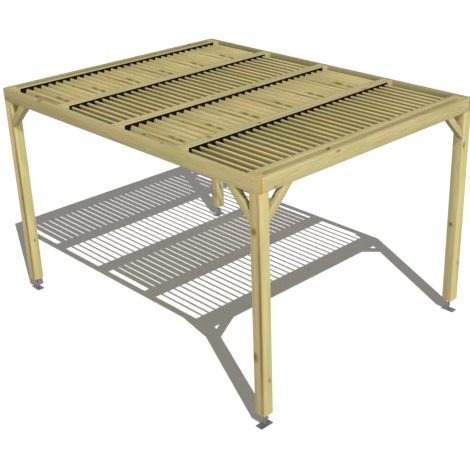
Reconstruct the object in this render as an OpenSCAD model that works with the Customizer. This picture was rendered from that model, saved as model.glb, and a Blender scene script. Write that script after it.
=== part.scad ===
// Free-standing timber pergola with a flat roof of tilting louvres in four bays.
// The origin is the centre of the footprint on the ground.
// +X runs along the front, +Y from the front to the back and +Z up.

/* [Frame] */
// Outside size along the front
frame_w = 3140; // [2800:5:3600]
// Outside size from front to back
frame_d = 4105; // [3600:5:4800]
// Height from the ground to the top of the beams
frame_h = 2550; // [2200:5:3000]

/* [Posts and beams] */
// Side of the square posts
post_side = 120; // [100:1:145]
// Thickness of the perimeter beams
beam_t = 45; // [35:1:60]
// Depth of the perimeter beams
beam_h = 145; // [125:1:190]

/* [Braces] */
// Side of the square section of a corner brace
brace_side = 70; // [45:1:90]
// Leg of the open triangle between a brace, its post and its beam
brace_leg = 195; // [120:1:300]

/* [Post shoes] */
// Height of a shoe, from the ground to the foot of its post
shoe_h = 140; // [90:1:220]
// Length of the base plate
plate_l = 155; // [130:1:200]
// Width of the base plate
plate_w = 85; // [70:1:110]
// Thickness of the base plate and of the seat plate
plate_t = 8; // [5:1:12]
// Diameter of the anchor holes
anchor_d = 12; // [8:1:16]
// Distance from an anchor hole's centre to the plate's edges
anchor_inset = 15; // [12:1:22]
// Side of the square seat plate under the post
seat_side = 90; // [70:1:100]
// Diameter of the threaded stem
stem_d = 16; // [12:1:20]
// Width of a nut on the stem, across its corners
nut_d = 28; // [24:1:34]
// Height of a nut on the stem
nut_h = 13; // [8:1:20]

/* [Roof bays] */
// Width of a rail
rail_w = 70; // [45:1:90]
// Depth of a rail
rail_h = 120; // [112:1:145]
// Thickness of a bearing strip
strip_t = 6; // [4:0.5:10]
// Depth of a bearing strip
strip_h = 110; // [100:1:112]
// Distance from the top of a bay's front bearing strip down from the top of its rail
front_strip_drop = 10; // [0:1:25]
// Distance from the left beam to the bearing strips
strip_inset_left = 63; // [55:1:80]
// Distance from the right beam to the bearing strips
strip_inset_right = 95; // [60:1:96]

/* [Louvres] */
// Louvres in a bay
louvre_count = 30; // [26:1:32]
// Width of a louvre board
board_w = 95; // [70:1:100]
// Thickness of a louvre board
board_t = 20; // [15:1:25]
// Gap between the end of a board and its bearing strip
board_end_gap = 6; // [5:0.5:15]
// Mean distance from the side beams to the outer pivots of a bay
pivot_inset = 120; // [115:1:140]
// Shift of a bay's row of pivots from the middle of the frame
pivot_shift = 8; // [0:1:10]
// Depth of the pivots below the top of the beams
pivot_depth = 60; // [55:1:65]
// Diameter of a pivot pin
pin_d = 8; // [5:0.5:12]
// Length of a pivot pin inside its board
pin_hold = 40; // [20:1:60]
// Play around a pivot pin in its hole
pin_play = 0.3; // [0.2:0.05:0.5]
// Gap between the end of a pivot pin and the rail
pin_end_gap = 1; // [0.5:0.5:2]
// Tilt of the louvres, with the left edge raised in the front bay
tilt = 66; // [45:1:90]

/* [Hidden] */
$fn = 48;
bay_count = 4;
// From the front to the back, every second bay is turned round
bay_turns = [1, -1, 1, -1];
beam_bottom = frame_h - beam_h;
tenon_side = post_side - beam_t;
inner_w = frame_w - 2 * beam_t;
bay_d = (frame_d - 2 * post_side) / bay_count;
bay_clear = bay_d - 2 * rail_w;
strip_l = inner_w - strip_inset_left - strip_inset_right;
board_l = bay_clear - 2 * (strip_t + board_end_gap);
pivot_pitch = (inner_w - 2 * pivot_inset) / (louvre_count - 1);
pivot_z = frame_h - pivot_depth;
pin_l = pin_hold + board_end_gap + strip_t - pin_end_gap;
brace_outer_leg = brace_leg + brace_side * sqrt(2);
nut_sides = 6;
timber = [0.78, 0.71, 0.46];
bearing_black = [0.06, 0.06, 0.06];
galvanised = [0.62, 0.64, 0.65];

SIDES = [[-1, "left"], [1, "right"]];
ENDS = [[-1, "front"], [1, "back"]];

function corner_node(end, side, piece) = str(end[1], "_", side[1], "_", piece);
function bay_node(bay, piece) = str("bay_", bay + 1, "_", piece);
function louvre_node(i) = str("louvre_", i < 9 ? "0" : "", i + 1);
function bay_front(bay) = -frame_d / 2 + post_side + bay * bay_d;
function pivot_x(bay, i) = (i - (louvre_count - 1) / 2) * pivot_pitch - bay_turns[bay] * pivot_shift;

// Puts a shape drawn for the front left corner, with its outer corner at zero, at any corner
module at_corner(end, side) {
    translate([side[0] * frame_w / 2, end[0] * frame_d / 2, 0])
        mirror([side[0] > 0 ? 1 : 0, 0, 0])
            mirror([0, end[0] > 0 ? 1 : 0, 0])
                children();
}

// Square post, halved at the top so that both beams sit on it and a tenon rises behind them
module post() {
    color(timber) {
        translate([0, 0, shoe_h])
            cube([post_side, post_side, beam_bottom - shoe_h]);
        translate([beam_t, beam_t, beam_bottom])
            cube([tenon_side, tenon_side, beam_h]);
    }
}

// Base plate with four anchor holes, a threaded stem with its nuts and a seat plate
module shoe(turned) {
    color(galvanised)
        translate([post_side / 2, post_side / 2, 0])
            rotate([0, 0, turned ? 90 : 0]) {
                base_plate();
                translate([0, 0, plate_t])
                    cylinder(d = stem_d, h = shoe_h - 2 * plate_t);
                for (z = [plate_t, shoe_h - plate_t - nut_h])
                    translate([0, 0, z])
                        cylinder(d = nut_d, h = nut_h, $fn = nut_sides);
                translate([-seat_side / 2, -seat_side / 2, shoe_h - plate_t])
                    cube([seat_side, seat_side, plate_t]);
            }
}

module base_plate() {
    linear_extrude(plate_t)
        difference() {
            square([plate_l, plate_w], center = true);
            for (x = [-1, 1], y = [-1, 1])
                translate([x * (plate_l / 2 - anchor_inset), y * (plate_w / 2 - anchor_inset)])
                    circle(d = anchor_d);
        }
}

// Two 45 degree braces, flush with the outer faces, from the post to the beams
module braces() {
    color(timber) {
        brace();
        mirror([1, -1, 0])
            brace();
    }
}

module brace() {
    translate([post_side, brace_side, beam_bottom])
        rotate([90, 0, 0])
            linear_extrude(brace_side)
                polygon([[0, -brace_leg], [brace_leg, 0], [brace_outer_leg, 0], [0, -brace_outer_leg]]);
}

// Side beams run the full depth of the frame
module side_beam(side) {
    color(timber)
        translate([side[0] * (frame_w - beam_t) / 2 - beam_t / 2, -frame_d / 2, beam_bottom])
            cube([beam_t, frame_d, beam_h]);
}

// Front and back beams butt between the side beams
module end_beam(end) {
    color(timber)
        translate([-inner_w / 2, end[0] * (frame_d - beam_t) / 2 - beam_t / 2, beam_bottom])
            cube([inner_w, beam_t, beam_h]);
}

// The two rails of a bay, between the side beams
module rails(bay) {
    color(timber)
        for (y = [0, bay_d - rail_w])
            translate([-inner_w / 2, bay_front(bay) + y, frame_h - rail_h])
                cube([inner_w, rail_w, rail_h]);
}

// The two bearing strips of a bay, on the faces of its rails, drilled for the pivots.
// The front one stays out of sight behind its rail.
module strips(bay) {
    color(bearing_black)
        for (strip = [[rail_w, front_strip_drop], [bay_d - rail_w - strip_t, 0]])
            translate([0, bay_front(bay) + strip[0], 0])
                difference() {
                    translate([strip_inset_left - inner_w / 2, 0, frame_h - strip_h])
                        cube([strip_l, strip_t, strip_h - strip[1]]);
                    for (i = [0 : louvre_count - 1])
                        translate([pivot_x(bay, i), strip_t / 2, pivot_z])
                            rotate([90, 0, 0])
                                cylinder(d = pin_d + 2 * pin_play, h = 2 * strip_t, center = true);
                }
}

// A board that turns about a pin in the middle of each end
module louvre(bay, i) {
    color(timber)
        translate([pivot_x(bay, i), bay_front(bay) + bay_d / 2, pivot_z])
            rotate([0, bay_turns[bay] * tilt, 0]) {
                cube([board_w, board_l, board_t], center = true);
                for (end = [-1, 1])
                    translate([0, end * (board_l / 2 - pin_hold + pin_l / 2), 0])
                        rotate([90, 0, 0])
                            cylinder(d = pin_d, h = pin_l, center = true);
            }
}

// All louvres of a bay that stays as it is set
module louvre_bank(bay) {
    for (i = [0 : louvre_count - 1])
        louvre(bay, i);
}

for (end = ENDS, side = SIDES) {
    at_corner(end, side) post();
    at_corner(end, side) shoe(end[0] != side[0]);
    at_corner(end, side) braces();
}
side_beam(SIDES[0]);  // left_beam
side_beam(SIDES[1]);  // right_beam
end_beam(ENDS[0]);  // front_beam
end_beam(ENDS[1]);  // back_beam
for (bay = [0 : bay_count - 1]) {
    rails(bay);
    strips(bay);
}
for (bay = [1 : bay_count - 1])
    louvre_bank(bay);
for (i = [0 : louvre_count - 1])
    louvre(0, i);
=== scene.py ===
"""Timber pergola with a louvred roof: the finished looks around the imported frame."""
import math
import random

import bpy
from mathutils import Matrix, Vector


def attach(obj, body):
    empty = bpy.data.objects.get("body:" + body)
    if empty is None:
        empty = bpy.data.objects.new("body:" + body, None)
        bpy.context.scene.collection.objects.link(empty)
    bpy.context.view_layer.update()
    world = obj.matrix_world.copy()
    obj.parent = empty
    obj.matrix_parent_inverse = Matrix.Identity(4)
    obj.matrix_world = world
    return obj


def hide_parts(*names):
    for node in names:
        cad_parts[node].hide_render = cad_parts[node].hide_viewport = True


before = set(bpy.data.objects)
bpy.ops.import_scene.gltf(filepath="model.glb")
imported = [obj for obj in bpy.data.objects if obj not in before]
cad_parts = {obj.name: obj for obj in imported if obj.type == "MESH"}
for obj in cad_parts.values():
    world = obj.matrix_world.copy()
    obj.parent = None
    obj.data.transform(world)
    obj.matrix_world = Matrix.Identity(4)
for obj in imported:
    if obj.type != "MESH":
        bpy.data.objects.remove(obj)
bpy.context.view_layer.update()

# Sizes in metres, the same as in the solids
FRAME_W, FRAME_D, FRAME_H = 3.140, 4.105, 2.550
POST, BEAM_T, BEAM_H = 0.120, 0.045, 0.145
BRACE, BRACE_LEG = 0.070, 0.195
SHOE_H, PLATE_L, PLATE_W, PLATE_T = 0.140, 0.155, 0.085, 0.008
ANCHOR_D, ANCHOR_INSET = 0.012, 0.015
SEAT, STEM_D, NUT_D, NUT_H = 0.090, 0.016, 0.028, 0.013
RAIL_W, RAIL_H, STRIP_T = 0.070, 0.120, 0.006
LOUVRES, BOARD_W, BOARD_T, BOARD_END_GAP = 30, 0.095, 0.020, 0.006
PIVOT_INSET, PIVOT_SHIFT, PIVOT_DEPTH = 0.120, 0.008, 0.060
PIN_D, PIN_END_GAP, TILT = 0.008, 0.001, 66
# From the front to the back, every second bay is turned round
BAY_TURNS = [1, -1, 1, -1]
BAYS = len(BAY_TURNS)

# Sizes of the small things that the solids leave out
POST_EDGE, TIMBER_EDGE, BOARD_EDGE = 0.0035, 0.003, 0.002
PLATE_EDGE, NUT_EDGE, SMALL_EDGE = 0.001, 0.0012, 0.0006
WASHER_D, WASHER_T = 0.040, 0.003
THREAD_PITCH, THREAD_DEPTH = 0.002, 0.001
SEAT_SCREW_R, SEAT_SCREW_H, SEAT_SCREW_SPOT = 0.0075, 0.006, 0.34
SCREW_R, SCREW_H, SCREW_RIM, SCREW_RECESS = 0.0046, 0.0012, 0.0022, 0.0009
BEAM_SCREW_INSET = 0.038
BRACE_SCREW_SPOTS = (0.14, 0.86)

BEAM_BOTTOM = FRAME_H - BEAM_H
INNER_W = FRAME_W - 2 * BEAM_T
BAY_D = (FRAME_D - 2 * POST) / BAYS
BOARD_L = BAY_D - 2 * (RAIL_W + STRIP_T + BOARD_END_GAP)
PIVOT_PITCH = (INNER_W - 2 * PIVOT_INSET) / (LOUVRES - 1)
BRACE_OUTER = BRACE_LEG + BRACE * math.sqrt(2)
HALF_W, HALF_D = FRAME_W / 2, FRAME_D / 2
X, Y, Z = Vector((1, 0, 0)), Vector((0, 1, 0)), Vector((0, 0, 1))


# Finishes

def tint(red, green, blue):
    """A colour from its 0 to 255 screen values, with alpha."""
    def linear(level):
        level /= 255
        return level / 12.92 if level <= 0.04045 else ((level + 0.055) / 1.055) ** 2.4
    return (linear(red), linear(green), linear(blue), 1)


class Value:
    """A shader socket that takes part in Python arithmetic."""

    def __init__(self, finish, socket):
        self.finish, self.socket = finish, socket

    def maths(self, operation, *terms):
        return self.finish.node("ShaderNodeMath", {"operation": operation}, dict(enumerate(terms)))

    def __add__(self, other):
        return self.maths("ADD", self, other)

    def __radd__(self, other):
        return self.maths("ADD", other, self)

    def __sub__(self, other):
        return self.maths("SUBTRACT", self, other)

    def __rsub__(self, other):
        return self.maths("SUBTRACT", other, self)

    def __mul__(self, other):
        return self.maths("MULTIPLY", self, other)

    def __rmul__(self, other):
        return self.maths("MULTIPLY", other, self)

    def __truediv__(self, other):
        return self.maths("DIVIDE", self, other)

    def __rtruediv__(self, other):
        return self.maths("DIVIDE", other, self)

    def __pow__(self, other):
        return self.maths("POWER", self, other)

    def __rpow__(self, other):
        return self.maths("POWER", other, self)

    def least(self, other):
        return self.maths("MINIMUM", self, other)

    def most(self, other):
        return self.maths("MAXIMUM", self, other)

    def fraction(self):
        return self.maths("FRACT", self)

    def second(self, name):
        """Another output of the same node."""
        return Value(self.finish, self.socket.node.outputs[name])


class Finish:
    """A node tree whose nodes all come from node()."""

    def __init__(self, tree):
        self.tree = tree
        tree.nodes.clear()

    def node(self, kind, settings=None, inputs=None, out=0):
        made = self.tree.nodes.new(kind)
        for key, setting in (settings or {}).items():
            if key == "stops":
                ramp = made.color_ramp.elements
                while len(ramp) < len(setting):
                    ramp.new(1)
                for stop, (place, level) in zip(ramp, setting):
                    stop.position, stop.color = place, (level, level, level, 1)
            else:
                setattr(made, key, setting)
        for key, value in (inputs or {}).items():
            if isinstance(value, Value):
                self.tree.links.new(value.socket, made.inputs[key])
            else:
                made.inputs[key].default_value = value
        return Value(self, made.outputs[out]) if made.outputs else made

    def attribute(self, name, out="Vector"):
        return self.node("ShaderNodeAttribute", {"attribute_name": name}, out=out)

    def parts(self, vector):
        """The three parts of a vector."""
        first = self.node("ShaderNodeSeparateXYZ", {}, {0: vector})
        return first, first.second("Y"), first.second("Z")

    def stretched(self, vector, scale):
        return self.node("ShaderNodeVectorMath", {"operation": "MULTIPLY"}, {0: vector, 1: scale})

    def span(self, vector):
        """The length of a vector."""
        return self.node("ShaderNodeVectorMath", {"operation": "LENGTH"}, {0: vector}, out="Value")

    def noise(self, vector, scale=1.0, detail=2.0, rough=0.5, out="Fac"):
        sockets = {"Vector": vector, "Scale": scale, "Detail": detail, "Roughness": rough}
        return self.node("ShaderNodeTexNoise", {}, sockets, out)

    def ramp(self, value, stops):
        return self.node("ShaderNodeValToRGB", {"stops": stops}, {0: value})

    def fade(self, value, start, end, low=0.0, high=1.0):
        """A smooth step from low at start to high at end."""
        return self.node("ShaderNodeMapRange", {"interpolation_type": "SMOOTHSTEP"},
                         {0: value, 1: start, 2: end, 3: low, 4: high})

    def mix(self, share, first, second, blend="MIX"):
        return self.node("ShaderNodeMix", {"data_type": "RGBA", "blend_type": blend},
                         {0: share, 6: first, 7: second}, out=2)

    def bump(self, height, depth, strength):
        return self.node("ShaderNodeBump", {},
                         {"Height": height, "Distance": depth, "Strength": strength})


def new_finish(name):
    material = bpy.data.materials.new(name)
    material.use_nodes = True
    return material, Finish(material.node_tree)


def surface(finish, **sockets):
    """Closes a finish with its one surface shader."""
    shader = finish.node("ShaderNodeBsdfPrincipled", {},
                         {key.replace("_", " "): value for key, value in sockets.items()})
    finish.node("ShaderNodeOutputMaterial", {}, {"Surface": shader})


def treated_pine():
    """Pressure-treated pine. Each board carries its own grain axes, tone and knots in its mesh."""
    ring_width, sway_width, knot_bulge = 0.0056, 0.034, 0.009
    material, pine = new_finish("treated_pine")
    grain = pine.attribute("grain")
    _, side, deep = pine.parts(grain)
    tone, rosy, streaky = pine.parts(pine.attribute("board"))
    end = pine.attribute("end_grain", "Fac")

    knot = pine.span(pine.attribute("knot_a"))
    for name in ("knot_b", "knot_c", "knot_d"):
        knot = knot.least(pine.span(pine.attribute(name)))
    heart = pine.fade(knot, 1.25, 0.45)
    halo = pine.fade(knot, 3.4, 0.7)

    sway = pine.noise(pine.stretched(grain, (0.9, 4.0, 4.0)), detail=3.0, out="Color")
    sway_side, sway_deep, _ = pine.parts(sway)
    side = side + (sway_side - 0.5) * sway_width
    deep = deep + (sway_deep - 0.5) * sway_width
    radius = (side * side + deep * deep) ** 0.5
    wander = pine.noise(pine.stretched(grain, (1.6, 30.0, 30.0)), detail=2.0)
    ring = ((radius + halo * knot_bulge) / ring_width + wander * 1.1).fraction()
    late = pine.ramp(ring, [(0.0, 0.0), (0.42, 0.12), (0.82, 1.0), (0.93, 0.75), (1.0, 0.0)])

    fibre = pine.noise(pine.stretched(grain, (7.0, 520.0, 520.0)), detail=3.0, rough=0.6)
    stripe = pine.noise(pine.stretched(grain, (0.55, 42.0, 42.0)), detail=3.0, rough=0.55)
    patch = pine.noise(pine.stretched(grain, (1.3, 11.0, 11.0)), detail=2.0)
    cloud = pine.noise(pine.stretched(grain, (2.6, 9.0, 9.0)), detail=3.0)

    colour = pine.mix(late * 0.50, tint(222, 209, 153), tint(183, 164, 101))
    colour = pine.mix(pine.fade(patch, 0.42, 0.66, 0.0, 0.62), colour, tint(187, 185, 118))
    colour = pine.mix(pine.fade(cloud + rosy, 0.50, 0.75, 0.0, 0.55), colour, tint(222, 192, 138))
    colour = pine.mix(pine.fade(stripe + streaky, 0.55, 0.78, 0.0, 0.42), colour, tint(158, 138, 76))
    colour = pine.mix(pine.fade(fibre, 0.35, 0.75, 0.0, 0.16), colour, tint(150, 128, 70))
    fresh = pine.mix(pine.fade(rosy, 0.03, 0.07), tint(214, 201, 124), tint(226, 184, 104))
    ends = pine.mix(late * 0.55 + pine.fade(stripe, 0.4, 0.7, 0.0, 0.3), fresh, tint(170, 134, 66))
    colour = pine.mix(end, colour, ends)
    stained = pine.mix(late, tint(172, 150, 92), tint(150, 126, 72))
    colour = pine.mix(pine.fade(knot, 2.2, 1.0, 0.0, 0.55), colour, stained)
    colour = pine.mix(heart * 0.85, colour, pine.mix(late, tint(140, 118, 62), tint(116, 94, 48)))
    shade = pine.node("ShaderNodeCombineXYZ", {}, {0: tone, 1: tone, 2: tone})
    colour = pine.mix(1.0, colour, shade, "MULTIPLY")

    height = late * 0.45 + fibre * 0.55 - heart * 0.3
    rough = 0.58 + fibre * 0.16 - heart * 0.08 + end * 0.12
    surface(pine, Base_Color=colour, Roughness=rough, Normal=pine.bump(height, 0.0007, 0.45),
            Specular_IOR_Level=0.12)
    return material


def bearing_black():
    """Matt black moulded strip with painted shade: dark brown below its black top edge, as timber in
    shade, mottled by a dust noise, with fine lines from the die.
    """
    black_edge_depth, shaded_brown_depth = 0.010, 0.016
    material, black = new_finish("bearing_black")
    place = black.node("ShaderNodeTexCoord", {}, out="Object")
    lines = black.noise(black.stretched(place, (2.0, 260.0, 420.0)), detail=2.0)
    dust_and_shade = black.fade(black.noise(black.stretched(place, (9.0, 30.0, 40.0)), detail=4.0), 0.45, 0.80)
    _, _, height = black.parts(place)
    # Painted shade: below its black top edge the strip is painted dark brown, as timber in shade, in a
    # share set by the dust noise
    painted_shade_band = black.fade(height, FRAME_H - black_edge_depth, FRAME_H - shaded_brown_depth)
    colour = black.mix(painted_shade_band * (0.6 + dust_and_shade * 0.4), tint(2, 2, 2), tint(34, 28, 18))
    surface(black, Base_Color=colour, Roughness=0.62 + dust_and_shade * 0.20 + lines * 0.08,
            Normal=black.bump(lines, 0.0003, 0.3), Specular_IOR_Level=0.04)
    return material


def galvanised():
    """Hot-dipped zinc, with its dull crystals and grey blotches."""
    material, zinc = new_finish("galvanised")
    place = zinc.node("ShaderNodeTexCoord", {}, out="Object")
    crystal = zinc.node("ShaderNodeTexVoronoi", {"voronoi_dimensions": "3D"},
                        {"Vector": place, "Scale": 150.0}, out="Color")
    facet, _, _ = zinc.parts(crystal)
    blotch = zinc.noise(place, scale=38.0, detail=4.0, rough=0.6)
    colour = zinc.mix(facet * 0.5 + blotch * 0.5, tint(96, 96, 104), tint(140, 140, 148))
    surface(zinc, Base_Color=colour, Metallic=0.72, Roughness=0.36 + facet * 0.10 + blotch * 0.22,
            Normal=zinc.bump(facet * 0.3 + blotch, 0.0003, 0.25))
    return material


PINE, BLACK, ZINC = treated_pine(), bearing_black(), galvanised()


# Hand tools

def alone(piece):
    """Selects one piece and nothing else."""
    bpy.ops.object.select_all(action="DESELECT")
    piece.select_set(True)
    bpy.context.view_layer.objects.active = piece


def named(name):
    """Names the piece that was just added and puts its place into its mesh."""
    piece = bpy.context.object
    piece.name = piece.data.name = name
    alone(piece)
    bpy.ops.object.transform_apply(location=True, rotation=True, scale=True)
    return piece


def block(name, low, high):
    """A squared block between two corners."""
    low, high = Vector(low), Vector(high)
    bpy.ops.object.select_all(action="DESELECT")
    bpy.ops.mesh.primitive_cube_add(size=1, location=(low + high) / 2, scale=high - low)
    return named(name)


def rod(name, middle, radius, length, turn=(0, 0, 0), sides=24):
    """A round or many-sided bar about its middle, upright unless it is turned."""
    bpy.ops.object.select_all(action="DESELECT")
    bpy.ops.mesh.primitive_cylinder_add(vertices=sides, radius=radius, depth=length,
                                        location=middle, rotation=turn)
    return named(name)


def open_faces(piece, wanted):
    """Opens a piece in edit mode with the wanted faces selected."""
    alone(piece)
    bpy.ops.object.mode_set(mode="EDIT")
    bpy.ops.mesh.select_mode(type="FACE")
    bpy.ops.mesh.select_all(action="DESELECT")
    bpy.ops.object.mode_set(mode="OBJECT")
    for face in piece.data.polygons:
        face.select = wanted(face)
    bpy.ops.object.mode_set(mode="EDIT")


def close(piece):
    bpy.ops.object.mode_set(mode="OBJECT")
    return piece


def looks_up(face):
    return face.normal.z > 0.9


def saw(piece, point, normal, keep=None):
    """Cuts a piece with a plane. keep is None for both sides, or the sign of the side that stays."""
    open_faces(piece, lambda face: True)
    bpy.ops.mesh.bisect(plane_co=point, plane_no=normal, use_fill=keep is not None,
                        clear_inner=keep == 1, clear_outer=keep == -1)
    return close(piece)


def ease(piece, width, segments=2):
    """Rounds the sharp edges of a piece."""
    sharp, smooth = math.radians(40), math.radians(32)
    alone(piece)
    bevel = piece.modifiers.new("eased_edges", "BEVEL")
    bevel.width, bevel.segments = width, segments
    bevel.limit_method, bevel.angle_limit = "ANGLE", sharp
    bpy.ops.object.modifier_apply(modifier=bevel.name)
    bpy.ops.object.shade_smooth_by_angle(angle=smooth)
    return piece


def bored(piece, cutters):
    """Takes round cutters out of a piece."""
    for cutter in cutters:
        alone(piece)
        cut = piece.modifiers.new("bore", "BOOLEAN")
        cut.operation, cut.solver, cut.object = "DIFFERENCE", "EXACT", cutter
        bpy.ops.object.modifier_apply(modifier=cut.name)
        bpy.data.objects.remove(cutter)
    return piece


def copied(piece, name, place):
    """A copy with its own mesh, moved by a matrix."""
    twin = piece.copy()
    twin.data = piece.data.copy()
    twin.name = twin.data.name = name
    bpy.context.scene.collection.objects.link(twin)
    twin.data.transform(place)
    if place.determinant() < 0:
        open_faces(twin, lambda face: True)
        bpy.ops.mesh.normals_make_consistent(inside=False)
        close(twin)
    return twin


def joined(name, pieces):
    bpy.ops.object.select_all(action="DESELECT")
    for piece in pieces:
        piece.select_set(True)
    bpy.context.view_layer.objects.active = pieces[0]
    if len(pieces) > 1:
        bpy.ops.object.join()
    whole = bpy.context.object
    whole.name = whole.data.name = name
    return whole


def coat(piece, material):
    piece.data.materials.clear()
    piece.data.materials.append(material)
    return piece


def lay_grain(piece, along, across, pith, knots=(), tone=1.0, rosy=0.0, streaky=0.0, seed=None):
    """Gives a board its grain: distances along and across it from its pith, its tone and its knots.

    A knot is (along, across, deep, radius, stretch) from the board's middle.
    A long one makes a dark streak.
    """
    pith_wander, knot_depth, no_knot, end_turn = 0.008, 2.2, 9.0, 0.75
    coat(piece, PINE)
    pick = random.Random(seed or piece.name)
    along = along.normalized()
    across = (across - along * across.dot(along)).normalized()
    deep = along.cross(across)
    mesh = piece.data
    spots = [(along.dot(v.co), across.dot(v.co), deep.dot(v.co)) for v in mesh.vertices]
    middle = [(min(s[i] for s in spots) + max(s[i] for s in spots)) / 2 for i in range(3)]
    spots = [tuple(s[i] - middle[i] for i in range(3)) for s in spots]
    start = (pick.uniform(0, 60),
             pith[0] + pick.uniform(-pith_wander, pith_wander),
             pith[1] + pick.uniform(-pith_wander, pith_wander))

    def keep(name, kind, domain, values):
        field = mesh.attributes.new(name, kind, domain)
        field.data.foreach_set("vector" if kind == "FLOAT_VECTOR" else "value", values)

    keep("grain", "FLOAT_VECTOR", "POINT", [s[i] + start[i] for s in spots for i in range(3)])
    keep("board", "FLOAT_VECTOR", "POINT",
         [tone * pick.uniform(0.97, 1.03), rosy, streaky] * len(spots))
    for name, at in zip("abcd", list(knots) + [None] * (4 - len(knots))):
        if at is None:
            values = [no_knot] * 3 * len(spots)
        else:
            size = (at[4] * at[3], at[3], knot_depth * at[3])
            values = [(s[i] - at[i]) / size[i] for s in spots for i in range(3)]
        keep("knot_" + name, "FLOAT_VECTOR", "POINT", values)
    keep("end_grain", "FLOAT", "FACE",
         [1.0 if abs(face.normal.dot(along)) > end_turn else 0.0 for face in mesh.polygons])
    return piece


def some_knots(seed, length, across, deep, count):
    """Knots strewn along a board, each near one of its faces."""
    pick = random.Random(seed)
    knots = []
    for i in range(count):
        at = ((i + pick.uniform(0.2, 0.8)) / count - 0.5) * length
        on_face = pick.choice((-1, 1))
        if pick.random() < 0.6:
            spot = (pick.uniform(-0.4, 0.4) * across, on_face * deep / 2)
        else:
            spot = (on_face * across / 2, pick.uniform(-0.4, 0.4) * deep)
        knots.append((at, *spot, pick.uniform(0.007, 0.012), 2.0))
    return knots


def show(piece, body, nodes):
    """Puts a finished piece on its body, in place of its solids."""
    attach(piece, body)
    if nodes:
        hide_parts(*nodes)


# Posts, braces and shoes, made for the front left corner and copied to the others

# Each corner's name, its side and its end
CORNERS = [("front_left", -1, -1), ("front_right", 1, -1), ("back_left", -1, 1), ("back_right", 1, 1)]


def corner_place(side, end):
    """Moves a shape from the front left corner, with its outer corner at zero, to a corner."""
    return Matrix.Translation((side * HALF_W, end * HALF_D, 0)) @ Matrix.Diagonal((-side, -end, 1, 1))


def make_post():
    post = block("post", (0, 0, SHOE_H), (POST, POST, BEAM_BOTTOM))
    saw(post, (BEAM_T, 0, 0), X)
    saw(post, (0, BEAM_T, 0), Y)
    open_faces(post, lambda face: looks_up(face) and min(face.center.x, face.center.y) > BEAM_T)
    bpy.ops.mesh.extrude_region_move(TRANSFORM_OT_translate={"value": (0, 0, BEAM_H)})
    return ease(close(post), POST_EDGE, segments=3)


def make_brace():
    brace = block("brace", (POST, 0, BEAM_BOTTOM - BRACE_OUTER),
                  (POST + BRACE_OUTER, BRACE, BEAM_BOTTOM))
    slope = (X - Z).normalized()
    saw(brace, (POST, 0, BEAM_BOTTOM - BRACE_LEG), slope, keep=1)
    saw(brace, (POST, 0, BEAM_BOTTOM - BRACE_OUTER), slope, keep=-1)
    return ease(brace, TIMBER_EDGE)


def make_shoe():
    """Base plate, threaded stem with its nuts, and the seat plate with its screws into the post."""
    under_seat = SHOE_H - PLATE_T
    plate = block("base_plate", (-PLATE_L / 2, -PLATE_W / 2, 0), (PLATE_L / 2, PLATE_W / 2, PLATE_T))
    holes = [(x * (PLATE_L / 2 - ANCHOR_INSET), y * (PLATE_W / 2 - ANCHOR_INSET), PLATE_T / 2)
             for x in (-1, 1) for y in (-1, 1)]
    bored(plate, [rod("drill", at, ANCHOR_D / 2, 3 * PLATE_T) for at in holes])
    ease(plate, PLATE_EDGE)
    seat = ease(block("seat_plate", (-SEAT / 2, -SEAT / 2, under_seat), (SEAT / 2, SEAT / 2, SHOE_H)),
                PLATE_EDGE)

    low, high = PLATE_T + NUT_H, under_seat - NUT_H
    crest, root, step = STEM_D / 2, STEM_D / 2 - THREAD_DEPTH, THREAD_PITCH / 2
    stem = rod("stem", (0, 0, low - step / 2), root, step, sides=16)
    open_faces(stem, looks_up)
    for turn in range(int((high - low) / THREAD_PITCH * 2)):
        bpy.ops.mesh.extrude_region_move(TRANSFORM_OT_translate={"value": (0, 0, step)})
        grow = crest / root if turn % 2 == 0 else root / crest
        bpy.ops.transform.resize(value=(grow, grow, 1))
    close(stem)

    nuts = [ease(rod("nut", (0, 0, z), NUT_D / 2, NUT_H, sides=6), NUT_EDGE)
            for z in (PLATE_T + NUT_H / 2, under_seat - NUT_H / 2)]
    spots = [(x * SEAT * SEAT_SCREW_SPOT, y * SEAT * SEAT_SCREW_SPOT, under_seat - SEAT_SCREW_H / 2)
             for x in (-1, 1) for y in (-1, 1)]
    heads = [ease(rod("seat_screw", at, SEAT_SCREW_R, SEAT_SCREW_H, sides=6), SMALL_EDGE) for at in spots]
    return coat(joined("shoe", [plate, seat, stem] + nuts + heads), ZINC)


def make_screw():
    """A countersunk screw head that faces up, with its driver recess."""
    screw = rod("screw", (0, 0, 0), SCREW_R, SCREW_H, sides=14)
    open_faces(screw, looks_up)
    bpy.ops.mesh.inset(thickness=SCREW_RIM, depth=0)
    bpy.ops.mesh.inset(thickness=0.0001, depth=-SCREW_RECESS)
    return coat(close(screw), ZINC)


post_pattern, brace_pattern = make_post(), make_brace()
shoe_pattern, screw_pattern = make_shoe(), make_screw()
# Turns the brace of the front beam into that of the side beam
swap = Matrix(((0, 1, 0, 0), (1, 0, 0, 0), (0, 0, 1, 0), (0, 0, 0, 1)))
post_mid = (SHOE_H + FRAME_H) / 2
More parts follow.
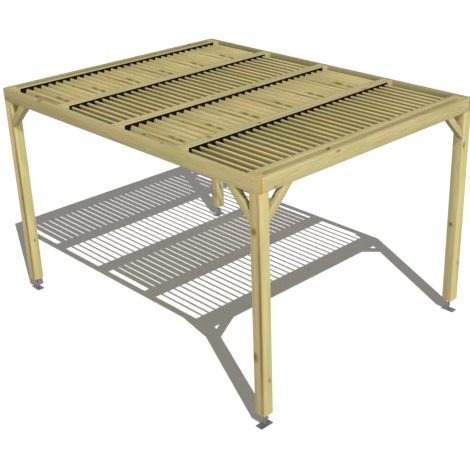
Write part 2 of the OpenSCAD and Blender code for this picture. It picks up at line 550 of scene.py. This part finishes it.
# Knots and streaks of the posts: height above the ground, place along the front and from front to back
# from the post's middle, radius and stretch
POST_KNOTS = {
    "front_left": [(2.047, -0.062, 0.012, 0.014, 2.2), (0.768, -0.062, 0.046, 0.016, 2.6),
                   (1.20, -0.064, -0.050, 0.010, 120), (0.52, 0.025, -0.061, 0.010, 2.0)],
    "front_right": [(2.038, -0.028, -0.061, 0.016, 2.0), (1.10, -0.062, 0.015, 0.010, 2.0),
                    (0.62, 0.020, -0.061, 0.010, 2.0), (1.62, 0.062, 0.01, 0.014, 2.0)],
    "back_left": [(1.20, -0.064, -0.046, 0.011, 120), (0.66, 0.01, -0.061, 0.009, 2.0),
                  (1.95, 0.02, 0.061, 0.015, 2.0), (0.95, 0.062, -0.02, 0.013, 2.0)],
    "back_right": [(1.20, -0.062, 0.0, 0.012, 2.0), (0.45, 0.0, -0.061, 0.010, 2.0),
                   (1.72, 0.062, 0.02, 0.016, 2.0), (0.88, -0.01, 0.061, 0.013, 2.0)],
}
POST_ROSE = {"front_left": 0.09, "front_right": 0.05, "back_left": 0.0, "back_right": 0.0}
POST_TONE = {"front_left": 1.22, "front_right": 1.18, "back_left": 1.26, "back_right": 1.15}
screws = []


def drive(point, out, place):
    """Sets a screw head on a face, with out as the face's normal, at a corner."""
    face = place.to_3x3() @ Vector(out)
    turn = face.to_track_quat("Z", "Y").to_matrix().to_4x4()
    screws.append(copied(screw_pattern, "screw", Matrix.Translation(place @ Vector(point)) @ turn))


for corner, side, end in CORNERS:
    place = corner_place(side, end)
    post = copied(post_pattern, corner + "_post_timber", place)
    knots = [(z - post_mid, *rest) for z, *rest in POST_KNOTS[corner]]
    lay_grain(post, Z, X, (-0.030 * side, 0.034), knots, POST_TONE[corner], POST_ROSE[corner],
              streaky=0.02, seed=corner)
    show(post, "frame", [corner + "_post"])

    pair = []
    for name, turn, axis, thick in (("end", Matrix.Identity(4), Vector((-side, 0, 1)), Y),
                                    ("side", swap, Vector((0, -end, 1)), X)):
        brace = copied(brace_pattern, corner + "_" + name + "_brace", place @ turn)
        lay_grain(brace, axis, thick, (0.05, -0.03), some_knots(corner + name, 0.3, BRACE, BRACE, 1),
                  rosy=0.03, seed=corner + name)
        pair.append(brace)
    show(joined(corner + "_brace_pair", pair), "frame", [corner + "_braces"])

    middle = place @ Matrix.Translation((POST / 2, POST / 2, 0))
    turned = Matrix.Rotation(math.radians(90 if side != end else 0), 4, "Z")
    shoe = copied(shoe_pattern, corner + "_post_shoe", middle @ turned)
    show(shoe, "frame", [corner + "_shoe"])

    tenon_middle = (BEAM_T + POST) / 2
    for z in (BEAM_BOTTOM + BEAM_SCREW_INSET, FRAME_H - BEAM_SCREW_INSET):
        drive((0, tenon_middle, z), (-1, 0, 0), place)
        drive((tenon_middle, 0, z), (0, -1, 0), place)
    low = BEAM_BOTTOM - BRACE_OUTER
    for share in BRACE_SCREW_SPOTS:
        under = Vector((POST + share * BRACE_OUTER, BRACE / 2, low + share * BRACE_OUTER))
        drive(under, (1, 0, -1), place)
        drive((under.y, under.x, under.z), (0, 1, -1), place)

for pattern in (post_pattern, brace_pattern, shoe_pattern, screw_pattern):
    bpy.data.objects.remove(pattern)
show(joined("frame_screws", screws), "frame", [])


# Beams and rails

def make_member(name, low, high, along, pith, count, **looks):
    """A planed timber with eased edges and a few knots."""
    member = ease(block(name, low, high), TIMBER_EDGE)
    size = Vector(high) - Vector(low)
    knots = some_knots(name, max(size.x, size.y), size.z, min(size.x, size.y), count)
    return lay_grain(member, along, Z, pith, knots, **looks)


# A beam's name, its place, its tone and how rosy a side beam is
for name, x, tone, rosy in (("left", -HALF_W, 0.98, 0.06), ("right", HALF_W - BEAM_T, 0.68, 0.0)):
    beam = make_member(name + "_beam_timber", (x, -HALF_D, BEAM_BOTTOM), (x + BEAM_T, HALF_D, FRAME_H),
                       Y, (0.018, 0.072), 4, tone=tone, rosy=rosy)
    show(beam, "frame", [name + "_beam"])
for name, y, tone in (("front", -HALF_D, 1.0), ("back", HALF_D - BEAM_T, 0.72)):
    beam = make_member(name + "_beam_timber", (-INNER_W / 2, y, BEAM_BOTTOM),
                       (INNER_W / 2, y + BEAM_T, FRAME_H), X, (-0.012, 0.066), 4, tone=tone, rosy=0.02)
    show(beam, "frame", [name + "_beam"])
for bay in range(BAYS):
    front = -HALF_D + POST + bay * BAY_D
    pair = [make_member(f"bay_{bay + 1}_rail_{i + 1}", (-INNER_W / 2, y, FRAME_H - RAIL_H),
                        (INNER_W / 2, y + RAIL_W, FRAME_H), X, (0.012, 0.055), 4)
            for i, y in enumerate((front, front + BAY_D - RAIL_W))]
    show(joined(f"bay_{bay + 1}_rail_pair", pair), "frame", [f"bay_{bay + 1}_rails"])
    coat(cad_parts[f"bay_{bay + 1}_strips"], BLACK)


# Louvres, made once about their pivot with the board level and copied to every place

def make_pin():
    """The pivot pin in the back end of a board, and the black washer between board and strip."""
    back = BOARD_L / 2
    reach = BOARD_END_GAP + STRIP_T - PIN_END_GAP
    lying = (math.radians(90), 0, 0)
    pin = rod("pin", (0, back + reach / 2, 0), PIN_D / 2, reach, lying, sides=12)
    washer = rod("washer", (0, back + WASHER_T / 2, 0), WASHER_D / 2, WASHER_T, lying)
    return joined("pin", [coat(ease(pin, SMALL_EDGE, 1), ZINC), coat(ease(washer, SMALL_EDGE, 1), BLACK)])


board_pattern = ease(block("board", (-BOARD_W / 2, -BOARD_L / 2, -BOARD_T / 2),
                           (BOARD_W / 2, BOARD_L / 2, BOARD_T / 2)), BOARD_EDGE)
pin_pattern = make_pin()
# The boards come in fives, the first two knotty: each one's knots, tone, rose and streaks
BOARD_KINDS = [
    ([(0.165, 0.008, 0, 0.010, 3.2), (-0.060, 0.018, -0.019, 0.007, 32)], 1.12, 0.01, 0.01),
    ([(-0.118, 0.022, 0, 0.012, 4.8), (-0.262, 0.020, 0, 0.011, 4.8)], 1.11, 0.02, 0.04),
    ([], 1.13, 0.02, 0.00),
    ([], 1.14, 0.01, -0.02),
    ([], 1.13, 0.00, -0.02),
]


def make_louvre(name, bay, i):
    along = (i - (LOUVRES - 1) / 2) * PIVOT_PITCH - BAY_TURNS[bay] * PIVOT_SHIFT
    spot = (along, -HALF_D + POST + (bay + 0.5) * BAY_D, FRAME_H - PIVOT_DEPTH)
    turn = Matrix.Rotation(math.radians(BAY_TURNS[bay] * TILT), 4, "Y")
    place = Matrix.Translation(spot) @ turn
    board = copied(board_pattern, name + "_board", place)
    knots, tone, rosy, streaky = BOARD_KINDS[i % len(BOARD_KINDS)]
    pick = random.Random(f"{bay} {i}")
    nudged = [(at + pick.uniform(-0.02, 0.02), across, deep, radius * pick.uniform(0.85, 1.1), stretch)
              for at, across, deep, radius, stretch in knots]
    pith = (pick.uniform(-0.03, 0.03), 0.045 * pick.choice((-1, 1)))
    lay_grain(board, Y, turn.to_3x3() @ X, pith, nudged, tone, rosy, streaky, seed=f"board {bay} {i}")
    ends = [copied(pin_pattern, name + "_pin", place @ Matrix.Rotation(half_turn, 4, "Z"))
            for half_turn in (0, math.pi)]
    return [board] + ends


for bay in range(1, BAYS):
    bank = [piece for i in range(LOUVRES) for piece in make_louvre(f"bay_{bay + 1}", bay, i)]
    show(joined(f"bay_{bay + 1}_louvre_bank", bank), "frame", [f"bay_{bay + 1}_louvres"])
for i in range(LOUVRES):
    name = f"louvre_{i + 1:02d}"
    show(joined(name + "_board", make_louvre(name, 0, i)), name, [name])
bpy.data.objects.remove(board_pattern)
bpy.data.objects.remove(pin_pattern)


# Floor, light and camera

FLOOR_SIZE, FLOOR_DROP = 160, 0.0006
FLOOR_DULL, FLOOR_SEEN = (0.32, 0.32, 0.32, 1), (1.84, 1.84, 1.84, 1)
bpy.ops.object.select_all(action="DESELECT")
bpy.ops.mesh.primitive_plane_add(size=FLOOR_SIZE, location=(0, 0, -FLOOR_DROP))
floor = named("floor")
material, pale = new_finish("pale_floor")
ray = pale.node("ShaderNodeLightPath", {}, out="Is Camera Ray")
seen = ray.most(ray.second("Is Glossy Ray"))
surface(pale, Base_Color=pale.mix(seen, FLOOR_DULL, FLOOR_SEEN), Roughness=0.9, Specular_IOR_Level=0.0)
coat(floor, material)

world = bpy.data.worlds.new("studio")
bpy.context.scene.world = world
world.use_nodes = True
sky = Finish(world.node_tree)
ray = sky.node("ShaderNodeLightPath", {}, out="Is Camera Ray")
seen = ray.most(ray.second("Is Glossy Ray")).most(ray.second("Is Transmission Ray"))
SKY_LIGHT = 0.13
glow = sky.node("ShaderNodeBackground", {},
                {"Color": (1, 1, 1, 1), "Strength": SKY_LIGHT + seen * (1 - SKY_LIGHT)})
sky.node("ShaderNodeOutputWorld", {}, {"Surface": glow})


# The fill lamps spare the floor, so that the key light's shadow stays dark on it
spared = bpy.data.collections.new("spared_by_fills")
spared.objects.link(floor)
spared.collection_objects[0].light_linking.link_state = "EXCLUDE"


def sun(name, towards, strength, spread, spares=None):
    """A lamp far away, in the direction that is given from the object."""
    lamp = bpy.data.lights.new(name, "SUN")
    lamp.energy, lamp.angle = strength, math.radians(spread)
    lamp_object = bpy.data.objects.new(name, lamp)
    bpy.context.scene.collection.objects.link(lamp_object)
    lamp_object.rotation_euler = Vector(towards).to_track_quat("Z", "Y").to_euler()
    lamp_object.light_linking.receiver_collection = spares


sun("key_light", (-0.266, -0.566, 0.780), 1.78, 0.3)
sun("front_fill", (-0.15, -0.98, 0.05), 1.42, 20, spared)
sun("left_fill", (-0.95, -0.22, 0.20), 0.98, 40, spared)
sun("back_fill", (0.70, 0.60, 0.40), 0.20, 60, spared)

camera = bpy.data.cameras.new("camera")
camera.sensor_fit, camera.sensor_width, camera.lens = "HORIZONTAL", 36, 69.753
camera.shift_x, camera.shift_y = -0.0593, -0.0298
camera.clip_start, camera.clip_end = 0.1, 400
viewer = bpy.data.objects.new("camera", camera)
bpy.context.scene.collection.objects.link(viewer)
viewer.location = (-6.4393, -7.1123, 5.3662)
viewer.rotation_euler = (math.radians(65.5385), math.radians(1.1696), math.radians(-44.6821))
bpy.context.scene.camera = viewer
bpy.context.scene.view_settings.view_transform = "Standard"
